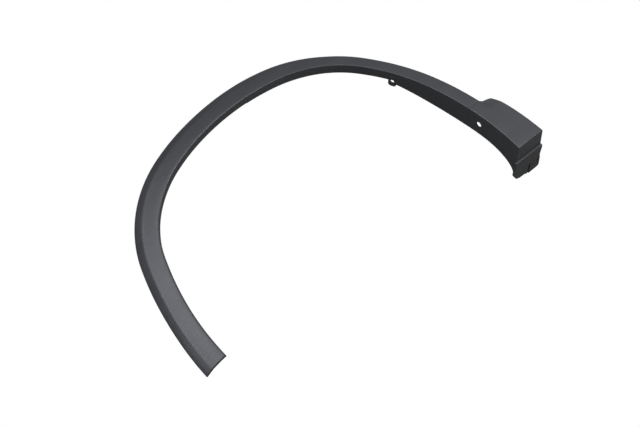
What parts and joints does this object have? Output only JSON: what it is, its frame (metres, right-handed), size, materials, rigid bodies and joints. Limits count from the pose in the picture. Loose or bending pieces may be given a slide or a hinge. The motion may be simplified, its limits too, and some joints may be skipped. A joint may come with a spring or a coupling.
{
  "type": "wheel arch trim",
  "caption": "Moulded plastic trim that covers the edge of a car's front wheel arch, with a return lip, a screw tab and a widened end with a fixing tongue.",
  "frame": {"origin": "under the middle of the trim's box, in the plane that it lies on", "axes": "+X from the sill end to the bumper end, +Y up the car towards the crown, +Z out of the car, the way the visible face looks"},
  "size_m": [0.8734, 0.551, 0.1209],
  "materials": {
    "grained_plastic": "fine moulded grain, unpainted"
  },
  "bodies": {
    "root": {"arch_trim": "grained_plastic"}
  },
  "joints": []
}
